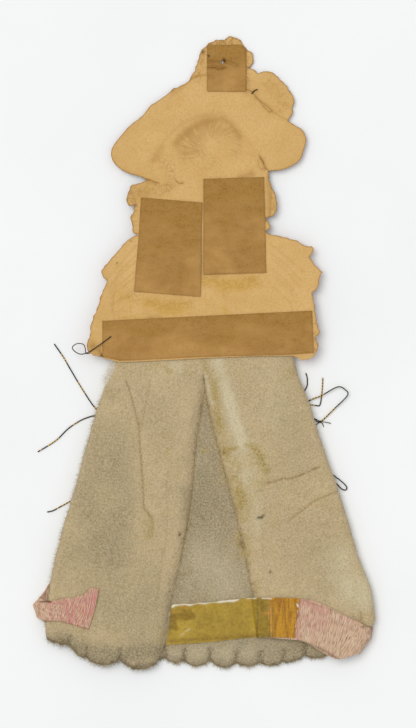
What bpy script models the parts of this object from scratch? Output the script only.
"""An old paper doll, lying on its printed face with its back up.

The bust is an embossed die-cut picture, mended on the back with four kraft patches. Its skirt is one
sheet of cotton wadding whose two sides fold over to the back, with a crepe band round the hem, a strip
of clear tape and four tinsel threads. The bust tips up at the waist, and the loose corner of the left
flap folds back.

X runs to the viewer's right, Y towards the hat, Z up. The sketches of the outlines are in millimetres
from the middle of the waist fold. The origin is under the middle of the doll.
"""

import math

import bmesh
import bpy
from mathutils import Vector

MM = 0.001

# Overall sizes
BUST_WIDTH = 94.2 * MM
BUST_HEIGHT = 130.6 * MM
SKIRT_WIDTH = 132.2 * MM
SKIRT_LENGTH = 123.4 * MM

# Sheets and threads
CARD = 0.5 * MM
KRAFT = 0.25 * MM
WADDING = 2.0 * MM
CREPE = 0.35 * MM
TAPE = 0.25 * MM
THREAD = 0.4 * MM

# Clearances
GAP = 0.3 * MM
THREAD_LIFT = 0.05 * MM
HAT_LIFT = 0.3 * MM
FLAP_AXIS_LIFT = 0.15 * MM

# Single features
HANGING_HOLE = 1.2 * MM
WAIST_TUCK = 16.0 * MM
TAPE_WIDTH = 15.9 * MM
RELIEF_GRID = 6.0 * MM

# Heights of the layers, from the surface that the doll lies on
THREAD_Z = THREAD_LIFT + THREAD / 2
BAND_Z = CREPE / 2
FRONT_Z = THREAD_LIFT + THREAD + GAP + WADDING / 2
FLAP_Z = FRONT_Z + WADDING + GAP
FLAP_TOP = FLAP_Z + WADDING / 2
BAND_END_Z = FLAP_TOP + GAP + CREPE / 2
TAPE_LOW_Z = FRONT_Z + WADDING / 2 + GAP + TAPE / 2
TAPE_FLAP_Z = FLAP_TOP + GAP + TAPE / 2
TAPE_BAND_Z = BAND_END_Z + CREPE / 2 + GAP + TAPE / 2

# The waist fold, which the bust hangs on, and how far the bust leans to bring the hat down
WAIST_Y = (SKIRT_LENGTH - BUST_HEIGHT) / 2
WAIST_Z = FLAP_TOP + GAP
BUST_LEAN = math.asin((WAIST_Z - HAT_LIFT) / BUST_HEIGHT)

# Heights on the bust, from the underside of its card
PATCH_Z = CARD + GAP
BUST_THREAD_Z = CARD + GAP + THREAD / 2
PATCH_THREAD_Z = PATCH_Z + KRAFT + GAP + THREAD / 2
UNDER_THREAD_Z = -GAP - THREAD / 2

# The die-cut edge, clockwise: a smooth curve through the points of each stretch, and a notch or a
# tip where one stretch meets the next
BUST_EDGE = [
    # bow on top of the hat
    [(-5.4, 113.4), (-3.4, 117.0), (-2.1, 120.4), (-1.6, 123.0), (-0.5, 125.4), (2.4, 127.9),
     (5.4, 129.0), (8.0, 129.2), (10.4, 130.6), (14.0, 129.9), (15.6, 127.8), (17.6, 125.2),
     (19.4, 123.6), (19.5, 119.6), (18.0, 118.1)],
    # plume
    [(18.0, 118.1), (20.0, 117.2), (22.0, 115.9), (24.6, 116.5), (27.0, 116.1), (30.2, 113.8),
     (34.0, 109.4), (36.3, 104.8), (35.3, 101.2)],
    [(35.3, 101.2), (35.5, 99.6), (33.8, 96.6)],
    # right of the brim
    [(33.8, 96.6), (35.8, 95.3), (39.6, 92.8), (41.1, 89.0), (40.2, 85.2), (38.5, 80.8),
     (35.0, 78.3), (30.6, 76.8), (25.9, 76.4)],
    # curls on the right
    [(25.9, 76.4), (26.4, 72.8), (28.0, 68.8), (29.0, 65.6), (29.2, 61.2), (27.8, 58.4), (24.8, 57.9)],
    [(24.8, 57.9), (25.6, 56.0), (27.3, 54.2)],
    [(27.3, 54.2), (24.5, 52.3)],
    # right shoulder
    [(24.5, 52.3), (26.6, 51.1), (32.0, 49.9), (36.7, 48.6), (40.0, 46.8), (43.2, 46.3), (44.0, 44.8),
     (42.3, 41.8)],
    [(42.3, 41.8), (45.0, 38.6), (47.6, 35.8)],
    [(47.6, 35.8), (46.2, 32.8), (45.8, 30.0), (43.4, 27.6)],
    [(43.4, 27.6), (44.3, 22.8), (45.4, 16.0), (46.4, 11.6), (45.0, 10.2)],
    [(45.0, 10.2), (45.7, 5.8), (43.6, 2.0), (40.6, 0.8), (38.4, 1.2), (35.8, 2.5)],
    # waist
    [(35.8, 2.5), (18.6, 2.2), (-1.4, 1.4), (-17.4, 0.6), (-32.6, 0.0), (-37.4, 1.0), (-40.8, 2.0)],
    # left shoulder
    [(-40.8, 2.0), (-44.2, 2.8), (-46.2, 4.4), (-46.6, 7.6), (-45.4, 10.0)],
    [(-45.4, 10.0), (-44.8, 15.6), (-42.4, 22.0), (-40.3, 28.4), (-38.4, 32.2)],
    [(-38.4, 32.2), (-40.2, 34.2), (-40.5, 36.8), (-37.0, 41.2), (-31.4, 47.4), (-28.2, 50.0),
     (-26.0, 51.0)],
    # curls on the left
    [(-26.0, 51.0), (-28.1, 52.2), (-28.9, 58.0), (-27.3, 60.5)],
    [(-27.3, 60.5), (-28.1, 61.6), (-26.9, 63.2)],
    [(-26.9, 63.2), (-29.4, 62.5), (-30.9, 64.4), (-30.0, 67.6), (-29.3, 70.6)],
    [(-29.3, 70.6), (-26.0, 71.4), (-22.0, 72.9)],
    # left of the brim, and up to the bow
    [(-22.0, 72.9), (-25.4, 74.2), (-30.2, 75.6), (-34.6, 78.4), (-36.8, 82.0), (-36.4, 86.0),
     (-33.2, 90.4), (-29.8, 94.4), (-24.6, 98.6), (-21.4, 102.6), (-19.2, 104.0), (-15.4, 106.6),
     (-11.8, 109.5), (-7.4, 111.4), (-5.4, 113.4)],
]

# Embossed forms, which bulge towards the printed side: middle x and y, half width, half height, depth
RELIEF = {
    "face and hair": (0.6, 78.8, 22.0, 26.0, 1.0),
    "brim": (-21.0, 92.8, 14.0, 12.0, 0.7),
    "bow": (8.6, 114.0, 10.0, 11.0, 0.5),
    "plume": (25.8, 98.8, 12.0, 13.0, 0.7),
    "chest": (0.6, 38.0, 24.0, 18.0, 0.8),
    "left shoulder": (-33.4, 28.8, 12.0, 18.0, 0.6),
    "right shoulder": (36.6, 30.8, 11.0, 18.0, 0.6),
}

# Kraft patches on the back
PATCHES = {
    "hat_patch": [(1.4, 127.0), (15.0, 127.2), (17.0, 125.2), (17.0, 108.2), (1.4, 108.4)],
    "neck_patch_left": [(-25.0, 65.8), (-0.5, 63.8), (-1.2, 26.1), (-27.8, 28.1), (-25.8, 52.0)],
    "neck_patch_right": [(0.0, 73.3), (24.2, 74.0), (25.1, 35.6), (-0.1, 35.0)],
    "waist_patch": [(-40.4, 16.4), (43.4, 20.5), (44.0, 3.6), (34.6, 3.0), (18.6, 2.6), (-1.4, 2.0),
                    (-25.4, 0.8), (-33.4, 0.5), (-37.4, 1.4), (-40.4, 2.4)],
}
HOLE_AT = (7.4, 120.2)

# Sides of the skirt and of the opening between its flaps: y and x, from the waist down
LEFT_EDGE = [(0.0, -35.6), (-12.0, -40.3), (-28.4, -45.4), (-50.4, -51.5), (-70.0, -57.2),
             (-87.6, -61.2), (-110.0, -63.6)]
RIGHT_EDGE = [(0.0, 36.6), (-15.1, 41.8), (-32.5, 47.3), (-52.7, 54.4), (-79.2, 62.5), (-90.2, 66.8),
              (-101.0, 68.6), (-104.0, 68.2), (-106.4, 66.2), (-110.0, 64.6)]
LEFT_OPENING = [(-11.2, 0.3), (-30.8, -2.9), (-57.2, -5.4), (-81.2, -9.6), (-97.2, -13.3),
                (-111.6, -15.4), (-117.2, -17.4)]
RIGHT_OPENING = [(0.0, 0.15), (-4.8, 0.15), (-20.8, 2.6), (-43.6, 8.6), (-62.2, 13.4), (-77.5, 16.9),
                 (-93.6, 20.1), (-110.0, 22.6)]

# From the waist fold to the lowest scallop, as the skirt is sketched here
SKETCH_LENGTH = 123.4

# How far down each row of the skirt's sheet its points are, as shares of the row's length, and how
# many rows each part of the sheet has
ROW_SHARES = [0.0, 0.06, 0.2, 0.4, 0.6, 0.75, 0.87, 0.95, 1.0]
LEFT_FLAP_ROWS = 20
FRONT_ROWS = 92
RIGHT_FLAP_ROWS = 16
CORNER_ROWS = 12
FOLD_STEPS = 6

# Where the loose corner of the left flap folds: from under the opening's top to a notch in the hem
FLAP_FOLD = [(-7.4, 0.0), (-118.6, -33.6)]
SEAM_X = -0.15
CORNER_TOP = -12.4
SKIRT_TOP = -0.3

# Scalloped hems: each notch's x and y, and how far the scallop after it hangs down
FRONT_HEM = [(-66.0, -109.0, 0.0), (-54.0, -112.0, 2.0), (-45.0, -115.0, 2.0), (-35.0, -116.2, 2.0),
             (-25.6, -117.0, 2.0), (-15.6, -118.0, 2.0), (-7.9, -119.2, 2.8), (2.5, -119.0, 2.9),
             (12.9, -120.0, 1.9), (22.6, -120.1, 1.7), (31.8, -119.8, 1.5), (40.4, -117.2, 1.6),
             (49.6, -117.2, 1.0), (58.0, -113.6, 0.6), (70.0, -108.6, 0.0)]
LEFT_HEM = [(-66.0, -109.4, 0.5), (-53.5, -113.4, 1.6), (-47.0, -118.0, 2.9), (-33.6, -118.6, 4.8),
            (-16.0, -117.6, 0.0)]
RIGHT_HEM = [(20.0, -109.6, 0.0), (36.0, -110.6, 0.0), (52.0, -116.6, 0.0), (58.0, -113.6, 0.0),
             (70.0, -108.6, 0.0)]

# The crepe band, from its end on the left flap round the front to its end on the right flap: its
# upper edge, middle and lower edge
BAND_LEFT_END = [
    [(-41.8, -90.7), (-43.4, -98.6), (-46.0, -106.8)],
    [(-48.5, -93.2), (-50.4, -98.8), (-53.4, -104.6)],
    [(-56.0, -94.6), (-56.4, -98.6), (-57.6, -103.6)],
    [(-61.8, -95.4), (-62.8, -98.4), (-63.2, -103.4)],
]
BAND_TIP = [(-65.6, -93.4), (-68.24, -97.2), (-66.4, -102.4)]
BAND_TIP_RISE = 0.25
BAND_FRONT = [
    [(-61.4, -88.8), (-62.2, -96.8), (-62.6, -104.8)],
    [(-46.0, -95.6), (-46.6, -103.6), (-47.2, -111.4)],
    [(-30.0, -100.4), (-30.2, -108.4), (-30.6, -116.2)],
    [(-10.0, -102.2), (-10.2, -110.2), (-10.4, -118.0)],
    [(10.0, -102.4), (10.0, -110.4), (10.0, -118.4)],
    [(30.0, -102.2), (30.0, -110.2), (30.0, -118.2)],
    [(48.0, -102.6), (48.0, -110.6), (48.0, -118.4)],
]
BAND_RIGHT_EDGE = [(65.2, -105.6), (64.4, -110.4), (60.2, -116.0)]
BAND_RIGHT_END = [
    [(61.2, -103.4), (58.0, -110.0), (54.2, -118.7)],
    [(54.5, -100.2), (52.6, -108.6), (49.6, -117.2)],
    [(47.8, -96.8), (46.6, -105.6), (45.0, -114.4)],
    [(42.3, -95.0), (41.0, -103.4), (39.8, -111.6)],
    [(27.6, -94.2), (27.4, -102.2), (27.0, -110.2)],
]

# The clear tape: the middle of each end, how far the right end's edges lean, and how far along the
# tape takes to step up
TAPE_LEFT_END = (-13.0, -104.8)
TAPE_RIGHT_END = (37.4, -102.2)
TAPE_SLANT = 1.0
TAPE_RUN_UP = 1.2

# Routes of the tinsel threads under the skirt and out at its sides: x, y and how far they rise
THREADS = {
    "tinsel_thread_1": [
        (-59.8, 7.2, 0.0), (-56.2, 2.0, 0.0), (-53.3, -3.0, 0.0), (-48.0, -11.8, 0.0),
        (-42.5, -19.4, 0.0), (-34.0, -25.4, 0.0), (-18.0, -31.2, 0.0), (0.0, -33.0, 0.0),
        (18.0, -30.0, 0.0), (33.0, -21.4, 0.0), (40.6, -11.4, 0.0), (41.6, -7.3, 0.0),
        (41.0, -4.4, 0.0)],
    "tinsel_thread_2": [
        (-66.4, -36.0, 0.0), (-59.2, -31.5, 0.0), (-53.6, -26.2, 0.0), (-46.9, -22.4, 0.0),
        (-41.6, -22.2, 0.0), (-34.0, -29.6, 0.0), (-18.0, -37.4, 0.0), (0.0, -39.9, 0.0),
        (18.0, -36.8, 0.0), (31.0, -28.4, 0.0), (37.6, -19.6, 0.0), (42.2, -15.6, 0.2),
        (47.3, -13.4, 0.9), (53.6, -10.0, 1.2), (56.6, -11.0, 1.4), (57.6, -13.4, 1.2),
        (52.2, -18.9, 0.5), (46.8, -23.9, 0.1), (44.6, -22.9, 0.0)],
    "tinsel_thread_3": [
        (47.8, -6.4, 0.0), (47.6, -10.4, 0.0), (47.2, -14.6, 0.0), (46.5, -17.4, 0.0),
        (44.7, -17.4, 0.0), (42.2, -17.6, 0.0), (39.4, -22.4, 0.0), (34.0, -32.4, 0.0),
        (20.0, -43.6, 0.0), (0.0, -52.0, 0.0), (-25.0, -56.4, 0.0), (-52.7, -55.5, 0.0),
        (-56.2, -57.6, 0.0), (-62.4, -60.2, 0.0)],
    "tinsel_thread_4": [
        (53.2, -48.5, 0.0), (55.6, -50.0, 0.0), (56.8, -50.7, 0.2), (55.4, -48.6, 0.5),
        (53.4, -46.6, 0.4), (50.2, -44.6, 0.0), (43.0, -48.6, 0.0), (28.0, -58.6, 0.0),
        (8.0, -66.8, 0.0), (-15.0, -72.0, 0.0), (-35.0, -73.0, 0.0)],
}
THREAD_POINTS = 56

# The black thread that holds the waist, from the patch over the bust's left corner, out in a loop and
# back under the card: x, y and height over the card's underside
WAIST_THREAD = [
    (-36.9, 10.2, PATCH_THREAD_Z), (-39.0, 8.6, PATCH_THREAD_Z), (-41.6, 6.7, PATCH_THREAD_Z),
    (-43.8, 5.2, BUST_THREAD_Z), (-45.7, 4.0, BUST_THREAD_Z), (-48.6, 3.1, 0.8 * BUST_THREAD_Z),
    (-51.0, 3.9, 0.5 * BUST_THREAD_Z), (-52.4, 5.6, 0.3 * BUST_THREAD_Z),
    (-51.4, 6.9, 0.2 * BUST_THREAD_Z), (-49.8, 7.4, 0.1 * BUST_THREAD_Z), (-47.8, 6.9, 0.0),
    (-47.2, 5.2, 0.6 * UNDER_THREAD_Z), (-46.8, 3.4, UNDER_THREAD_Z),
    (-44.2, 4.0, UNDER_THREAD_Z), (-40.5, 6.2, UNDER_THREAD_Z), (-37.6, 8.2, UNDER_THREAD_Z)]
WAIST_THREAD_POINTS = 64
HAT_STITCH = [(19.2, 107.4), (20.2, 108.5), (21.6, 109.2)]


def remove_everything():
    for old in list(bpy.data.objects):
        bpy.data.objects.remove(old, do_unlink=True)


def spread_of(points, axis):
    values = [p[axis] for p in points]
    return max(values) - min(values)


# How much the sketches are stretched to the overall sizes
ALL_BUST_POINTS = [p for stretch in BUST_EDGE for p in stretch]
BUST_X = BUST_WIDTH / spread_of(ALL_BUST_POINTS, 0)
BUST_Y = BUST_HEIGHT / spread_of(ALL_BUST_POINTS, 1)
SKIRT_X = SKIRT_WIDTH / (max(p[1] for p in RIGHT_EDGE) - min(p[1] for p in LEFT_EDGE))
SKIRT_Y = SKIRT_LENGTH / SKETCH_LENGTH


def on_bust(x, y, z=0.0):
    return Vector((x * BUST_X, y * BUST_Y, z))


def on_skirt(x, y, z=0.0):
    return Vector((x * SKIRT_X, y * SKIRT_Y, z))


def material(name, colour, roughness):
    made = bpy.data.materials.new(name)
    made.use_nodes = True
    surface = made.node_tree.nodes["Principled BSDF"]
    surface.inputs["Base Color"].default_value = (*colour, 1.0)
    surface.inputs["Roughness"].default_value = roughness
    surface.inputs["Metallic"].default_value = 0.0
    return made


def add_object(name, data, stuff, parent):
    made = bpy.data.objects.new(name, data)
    made.data.materials.append(stuff)
    made.parent = parent
    bpy.context.scene.collection.objects.link(made)
    return made


def add_empty(name, place, turn=(0.0, 0.0, 0.0)):
    made = bpy.data.objects.new(name, None)
    made.location = place
    made.rotation_euler = turn
    bpy.context.scene.collection.objects.link(made)
    return made


def smooth(points, steps):
    """Points of a smooth curve through the given ones, with that many steps between two of them."""
    curve = []
    points = [Vector(p) for p in points]
    for i in range(len(points) - 1):
        before = points[max(i - 1, 0)]
        start = points[i]
        end = points[i + 1]
        after = points[min(i + 2, len(points) - 1)]
        for k in range(steps):
            t = k / steps
            pull = (end - before) * t + (2 * before - 5 * start + 4 * end - after) * t * t
            pull += (3 * start - before - 3 * end + after) * t ** 3
            curve.append(start + pull / 2)
    curve.append(points[-1])
    return curve


def evenly(points, count):
    """That many points at equal distances along a smooth curve through the given ones."""
    fine = smooth(points, 24)
    along = [0.0]
    for a, b in zip(fine, fine[1:]):
        along.append(along[-1] + (b - a).length)
    picked = []
    k = 0
    for i in range(count):
        target = along[-1] * i / (count - 1)
        while k < len(fine) - 2 and along[k + 1] < target:
            k += 1
        share = (target - along[k]) / (along[k + 1] - along[k])
        picked.append(fine[k].lerp(fine[k + 1], share))
    return picked


def side_x(curve, y):
    """The x of a side at height y, on a smooth curve through its points."""
    last = len(curve) - 1
    i = 0
    while i < last - 1 and y < curve[i + 1][0]:
        i += 1
    (y0, x0), (y1, x1) = curve[i], curve[i + 1]
    before = curve[max(i - 1, 0)]
    after = curve[min(i + 2, last)]
    slope0 = (x1 - before[1]) / (y1 - before[0])
    slope1 = (after[1] - x0) / (after[0] - y0)
    t = (y - y0) / (y1 - y0)
    if t > 1:
        return x1 + slope1 * (y - y1)
    h = y1 - y0
    return ((2 * t ** 3 - 3 * t * t + 1) * x0 + (t ** 3 - 2 * t * t + t) * h * slope0
            + (3 * t * t - 2 * t ** 3) * x1 + (t ** 3 - t * t) * h * slope1)


def hem_y(hem, x):
    """The height of a scalloped hem at x: a round scallop hangs from each notch to the next."""
    i = 0
    while i < len(hem) - 2 and x > hem[i + 1][0]:
        i += 1
    x0, y0, drop = hem[i]
    x1, y1 = hem[i + 1][:2]
    t = min(max((x - x0) / (x1 - x0), 0.0), 1.0)
    return y0 + (y1 - y0) * t - drop * math.sin(math.pi * t) ** 0.6


def skirt_row(side_a, side_b, share, hem, z, top=SKIRT_TOP):
    """A row from the waist to the hem that runs between two sides."""
    low = hem[0][1]
    for _ in range(4):
        x = side_a(low) + (side_b(low) - side_a(low)) * share
        low = hem_y(hem, x)
    row = []
    for down in ROW_SHARES:
        y = top + (low - top) * down
        x = side_a(y) + (side_b(y) - side_a(y)) * share
        row.append(on_skirt(x, y, z))
    return row


def solid_sheet(name, rows, thickness, stuff, parent):
    """A sheet through rows of points, half its thickness to each side of them."""
    bm = bmesh.new()
    grid = [[bm.verts.new(p) for p in row] for row in rows]
    for a, b in zip(grid, grid[1:]):
        for k in range(len(a) - 1):
            bm.faces.new((a[k], a[k + 1], b[k + 1], b[k]))
    mesh = bpy.data.meshes.new(name)
    bm.to_mesh(mesh)
    bm.free()
    made = add_object(name, mesh, stuff, parent)
    thicken = made.modifiers.new("thickness", "SOLIDIFY")
    thicken.thickness = thickness
    thicken.offset = 0.0
    thicken.use_even_offset = True
    return made


def plate(name, outline, low, thickness, stuff, parent):
    """A flat sheet of that outline, from a height up."""
    bm = bmesh.new()
    face = bm.faces.new([bm.verts.new((p.x, p.y, low)) for p in outline])
    lifted = bmesh.ops.extrude_face_region(bm, geom=[face])
    top = [g for g in lifted["geom"] if isinstance(g, bmesh.types.BMVert)]
    bmesh.ops.translate(bm, verts=top, vec=(0.0, 0.0, thickness))
    bmesh.ops.recalc_face_normals(bm, faces=bm.faces)
    mesh = bpy.data.meshes.new(name)
    bm.to_mesh(mesh)
    bm.free()
    return add_object(name, mesh, stuff, parent)


def cord(name, points, stuff, parent):
    curve = bpy.data.curves.new(name, "CURVE")
    curve.dimensions = "3D"
    curve.bevel_depth = THREAD / 2
    curve.bevel_resolution = 2
    curve.use_fill_caps = True
    line = curve.splines.new("POLY")
    line.points.add(len(points) - 1)
    for at, p in zip(line.points, points):
        at.co = (p.x, p.y, p.z, 1.0)
    return add_object(name, curve, stuff, parent)


def cut_hole(piece, cutter):
    cut = piece.modifiers.new("hanging hole", "BOOLEAN")
    cut.operation = "DIFFERENCE"
    cut.solver = "EXACT"
    cut.object = cutter


def relief_depth(x, y):
    """How far the card bulges down at a place on the bust, in metres."""
    depth = 0.0
    for middle_x, middle_y, half_x, half_y, most in RELIEF.values():
        off = ((x / BUST_X - middle_x) / half_x) ** 2 + ((y / BUST_Y - middle_y) / half_y) ** 2
        depth = max(depth, most * MM * max(0.0, 1.0 - off) ** 2)
    return depth


def make_bust_scrap(stuff, parent):
    outline = []
    for stretch in BUST_EDGE:
        outline += smooth([on_bust(x, y) for x, y in stretch], 2)[:-1]
    bm = bmesh.new()
    bm.faces.new([bm.verts.new(p) for p in outline])
    for axis, size in ((0, BUST_WIDTH), (1, BUST_HEIGHT)):
        for k in range(-math.ceil(size / RELIEF_GRID), math.ceil(size / RELIEF_GRID)):
            place = Vector((0.0, 0.0, 0.0))
            place[axis] = (k + 0.5) * RELIEF_GRID
            across = Vector((0.0, 0.0, 0.0))
            across[axis] = 1.0
            everything = bm.verts[:] + bm.edges[:] + bm.faces[:]
            bmesh.ops.bisect_plane(bm, geom=everything, plane_co=place, plane_no=across, dist=1e-6)
    bmesh.ops.triangulate(bm, faces=bm.faces)
    for v in bm.verts:
        v.co.z = -relief_depth(v.co.x, v.co.y)
    bmesh.ops.recalc_face_normals(bm, faces=bm.faces)
    if sum(f.normal.z for f in bm.faces) < 0:
        bmesh.ops.reverse_faces(bm, faces=bm.faces)
    mesh = bpy.data.meshes.new("bust_scrap")
    bm.to_mesh(mesh)
    bm.free()
    scrap = add_object("bust_scrap", mesh, stuff, parent)
    thicken = scrap.modifiers.new("card", "SOLIDIFY")
    thicken.thickness = CARD
    thicken.offset = 1.0
    return scrap


def make_hole_cutter(parent):
    bm = bmesh.new()
    bmesh.ops.create_cone(bm, cap_ends=True, segments=16, radius1=HANGING_HOLE / 2,
                          radius2=HANGING_HOLE / 2, depth=20 * CARD)
    mesh = bpy.data.meshes.new("hanging_hole_cutter")
    bm.to_mesh(mesh)
    bm.free()
    cutter = bpy.data.objects.new("hanging_hole_cutter", mesh)
    cutter.parent = parent
    cutter.location = on_bust(*HOLE_AT)
    cutter.hide_render = True
    cutter.display_type = "WIRE"
    bpy.context.scene.collection.objects.link(cutter)
    return cutter


def make_waist_tab(stuff, parent):
    """The top of the skirt's wadding, glued under the bust's lower edge."""
    left = side_x(LEFT_EDGE, 0.0) * SKIRT_X
    right = side_x(RIGHT_EDGE, 0.0) * SKIRT_X
    corners = [Vector((left, GAP)), Vector((right, GAP)), Vector((right, WAIST_TUCK)),
               Vector((left, WAIST_TUCK))]
    depth = WAIST_Z - GAP - (FRONT_Z - WADDING / 2)
    return plate("waist_tab", corners, -GAP - depth, depth, stuff, parent)


# The skirt's folded sides: the middle of the fold, the radius of the sheet's middle there, and how far
# the sheet reaches past the line where the fold starts
FOLD_Z = (FRONT_Z + FLAP_Z) / 2
FOLD_RADIUS = (FLAP_Z - FRONT_Z) / 2
FOLD_REACH = (FOLD_RADIUS + WADDING / 2) / SKIRT_X


def left_fold(y):
    return side_x(LEFT_EDGE, y) + FOLD_REACH


def right_fold(y):
    return side_x(RIGHT_EDGE, y) - FOLD_REACH


def left_opening(y):
    return side_x(LEFT_OPENING, y)


def right_opening(y):
    return side_x(RIGHT_OPENING, y)


def fold_rows(fold, side, hem):
    """Rows round the fold at a side of the skirt, from the front panel up to the flap."""
    rows = []
    flat = skirt_row(fold, fold, 0.0, hem, FOLD_Z)
    for k in range(1, FOLD_STEPS):
        turn = math.pi * k / FOLD_STEPS
        shift = Vector((side * FOLD_RADIUS * math.sin(turn), 0.0, -FOLD_RADIUS * math.cos(turn)))
        rows.append([p + shift for p in flat])
    return rows


def rows_between(side_a, side_b, count, hem, z, top=SKIRT_TOP):
    return [skirt_row(side_a, side_b, k / count, hem, z, top) for k in range(count + 1)]


def flap_border(y):
    """The x of the left flap's fixed part at its right: the seam, then the fold of the loose corner."""
    (y0, x0), (y1, x1) = FLAP_FOLD
    on_fold = x0 + (x1 - x0) * (y - y0) / (y1 - y0)
    return min(SEAM_X, on_fold - GAP / MM)


def corner_border(y):
    return flap_border(y) + 2 * GAP / MM


def make_skirt(stuff, parent):
    """One sheet: the left flap, round the fold to the front panel, and round again to the right flap."""
    rows = rows_between(flap_border, left_fold, LEFT_FLAP_ROWS, LEFT_HEM, FLAP_Z)
    rows += fold_rows(left_fold, -1, LEFT_HEM)[::-1]
    rows += rows_between(left_fold, right_fold, FRONT_ROWS, FRONT_HEM, FRONT_Z)
    rows += fold_rows(right_fold, 1, RIGHT_HEM)
    rows += rows_between(right_fold, right_opening, RIGHT_FLAP_ROWS, RIGHT_HEM, FLAP_Z)
    return solid_sheet("skirt_wadding", rows, WADDING, stuff, parent)


def make_left_flap(stuff, parent):
    """The loose corner of the left flap, beside the opening."""
    rows = rows_between(corner_border, left_opening, CORNER_ROWS, LEFT_HEM, FLAP_Z, CORNER_TOP)
    from_fold = Vector((0.0, WAIST_Y, 0.0)) - parent.location
    return solid_sheet("left_flap", [[p + from_fold for p in row] for row in rows], WADDING, stuff, parent)


def band_row(points, z):
    return [on_skirt(x, y, z) for x, y in points]


def make_hem_band(stuff, parent):
    rows = [band_row(points, BAND_END_Z) for points in BAND_LEFT_END]
    tip_z = BAND_Z + BAND_TIP_RISE * (BAND_END_Z - BAND_Z)
    for turn in (150, 90, 30):
        out = CREPE * (1 - math.sin(math.radians(turn)))
        z = tip_z - CREPE * math.cos(math.radians(turn))
        rows.append([p + Vector((out, 0.0, z)) for p in band_row(BAND_TIP, 0.0)])
    rows += [band_row(points, BAND_Z) for points in BAND_FRONT]
    radius = (BAND_END_Z - BAND_Z) / 2
    middle = (BAND_END_Z + BAND_Z) / 2
    for k in range(FOLD_STEPS + 1):
        turn = math.pi * k / FOLD_STEPS
        lift = Vector((radius * math.sin(turn), 0.0, middle - radius * math.cos(turn)))
        rows.append([p + lift for p in band_row(BAND_RIGHT_EDGE, 0.0)])
    rows += [band_row(points, BAND_END_Z) for points in BAND_RIGHT_END]
    return solid_sheet("hem_band", rows, CREPE, stuff, parent)


def make_tape(stuff, parent):
    """The tape steps from the front panel up onto the right flap, and again onto the crepe."""
    (left_x, left_y), (right_x, right_y) = TAPE_LEFT_END, TAPE_RIGHT_END
    half = TAPE_WIDTH / MM / 2
    beside = 2 * GAP / MM
    rows = []

    def middle_y(x):
        return left_y + (right_y - left_y) * (x - left_x) / (right_x - left_x)

    def add(top_x, low_x, z):
        rows.append([on_skirt(top_x, middle_y(top_x) + half, z), on_skirt(low_x, middle_y(low_x) - half, z)])

    def step_up(top_x, low_x, low_z, high_z):
        add(top_x - beside - TAPE_RUN_UP, low_x - beside - TAPE_RUN_UP, low_z)
        add(top_x - beside, low_x - beside, high_z)

    add(side_x(LEFT_OPENING, left_y + half) + beside, side_x(LEFT_OPENING, left_y - half) + beside,
        TAPE_LOW_Z)
    flap_x = side_x(RIGHT_OPENING, left_y)
    step_up(side_x(RIGHT_OPENING, middle_y(flap_x) + half), side_x(RIGHT_OPENING, middle_y(flap_x) - half),
            TAPE_LOW_Z, TAPE_FLAP_Z)
    step_up(BAND_RIGHT_END[-1][0][0], BAND_RIGHT_END[-1][2][0], TAPE_FLAP_Z, TAPE_BAND_Z)
    add(right_x + TAPE_SLANT, right_x - TAPE_SLANT, TAPE_BAND_Z)
    return solid_sheet("hem_tape", rows, TAPE, stuff, parent)


def make_threads(stuff, parent):
    for name, route in THREADS.items():
        points = evenly([on_skirt(x, y, THREAD_Z + rise * MM) for x, y, rise in route], THREAD_POINTS)
        cord(name, points, stuff, parent)


def main():
    remove_everything()
    scrap_paper = material("aged scrap paper", (0.60, 0.38, 0.13), 0.8)
    kraft_paper = material("kraft paper", (0.40, 0.21, 0.06), 0.85)
    cotton = material("cotton wadding", (0.46, 0.37, 0.22), 0.95)
    crepe = material("pink crepe paper", (0.58, 0.27, 0.20), 0.9)
    clear_tape = material("yellowed clear tape", (0.45, 0.28, 0.03), 0.15)
    tinsel = material("tinsel thread", (0.12, 0.09, 0.05), 0.4)
    black_thread = material("black cotton thread", (0.015, 0.012, 0.012), 0.8)

    skirt = add_empty("skirt_origin", (0.0, WAIST_Y, 0.0))
    bust = add_empty("waist_fold_axis", (0.0, WAIST_Y, WAIST_Z), (-BUST_LEAN, 0.0, 0.0))
    fold_y, fold_x = FLAP_FOLD[0]
    fold_top = on_skirt(fold_x, fold_y, FLAP_TOP + FLAP_AXIS_LIFT) + Vector((0.0, WAIST_Y, 0.0))
    flap = add_empty("left_flap_axis", fold_top)

    cutter = make_hole_cutter(bust)
    scrap = make_bust_scrap(scrap_paper, bust)
    cut_hole(scrap, cutter)
    for name, corners in PATCHES.items():
        patch = plate(name, [on_bust(x, y) for x, y in corners], PATCH_Z, KRAFT, kraft_paper, bust)
        if name == "hat_patch":
            cut_hole(patch, cutter)
    make_waist_tab(cotton, bust)
    waist_points = evenly([on_bust(x, y, z) for x, y, z in WAIST_THREAD], WAIST_THREAD_POINTS)
    cord("waist_thread", waist_points, black_thread, bust)
    cord("hat_stitch", smooth([on_bust(x, y, BUST_THREAD_Z) for x, y in HAT_STITCH], 3),
         black_thread, bust)

    make_skirt(cotton, skirt)
    make_left_flap(cotton, flap)
    make_hem_band(crepe, skirt)
    make_tape(clear_tape, skirt)
    make_threads(tinsel, skirt)


main()
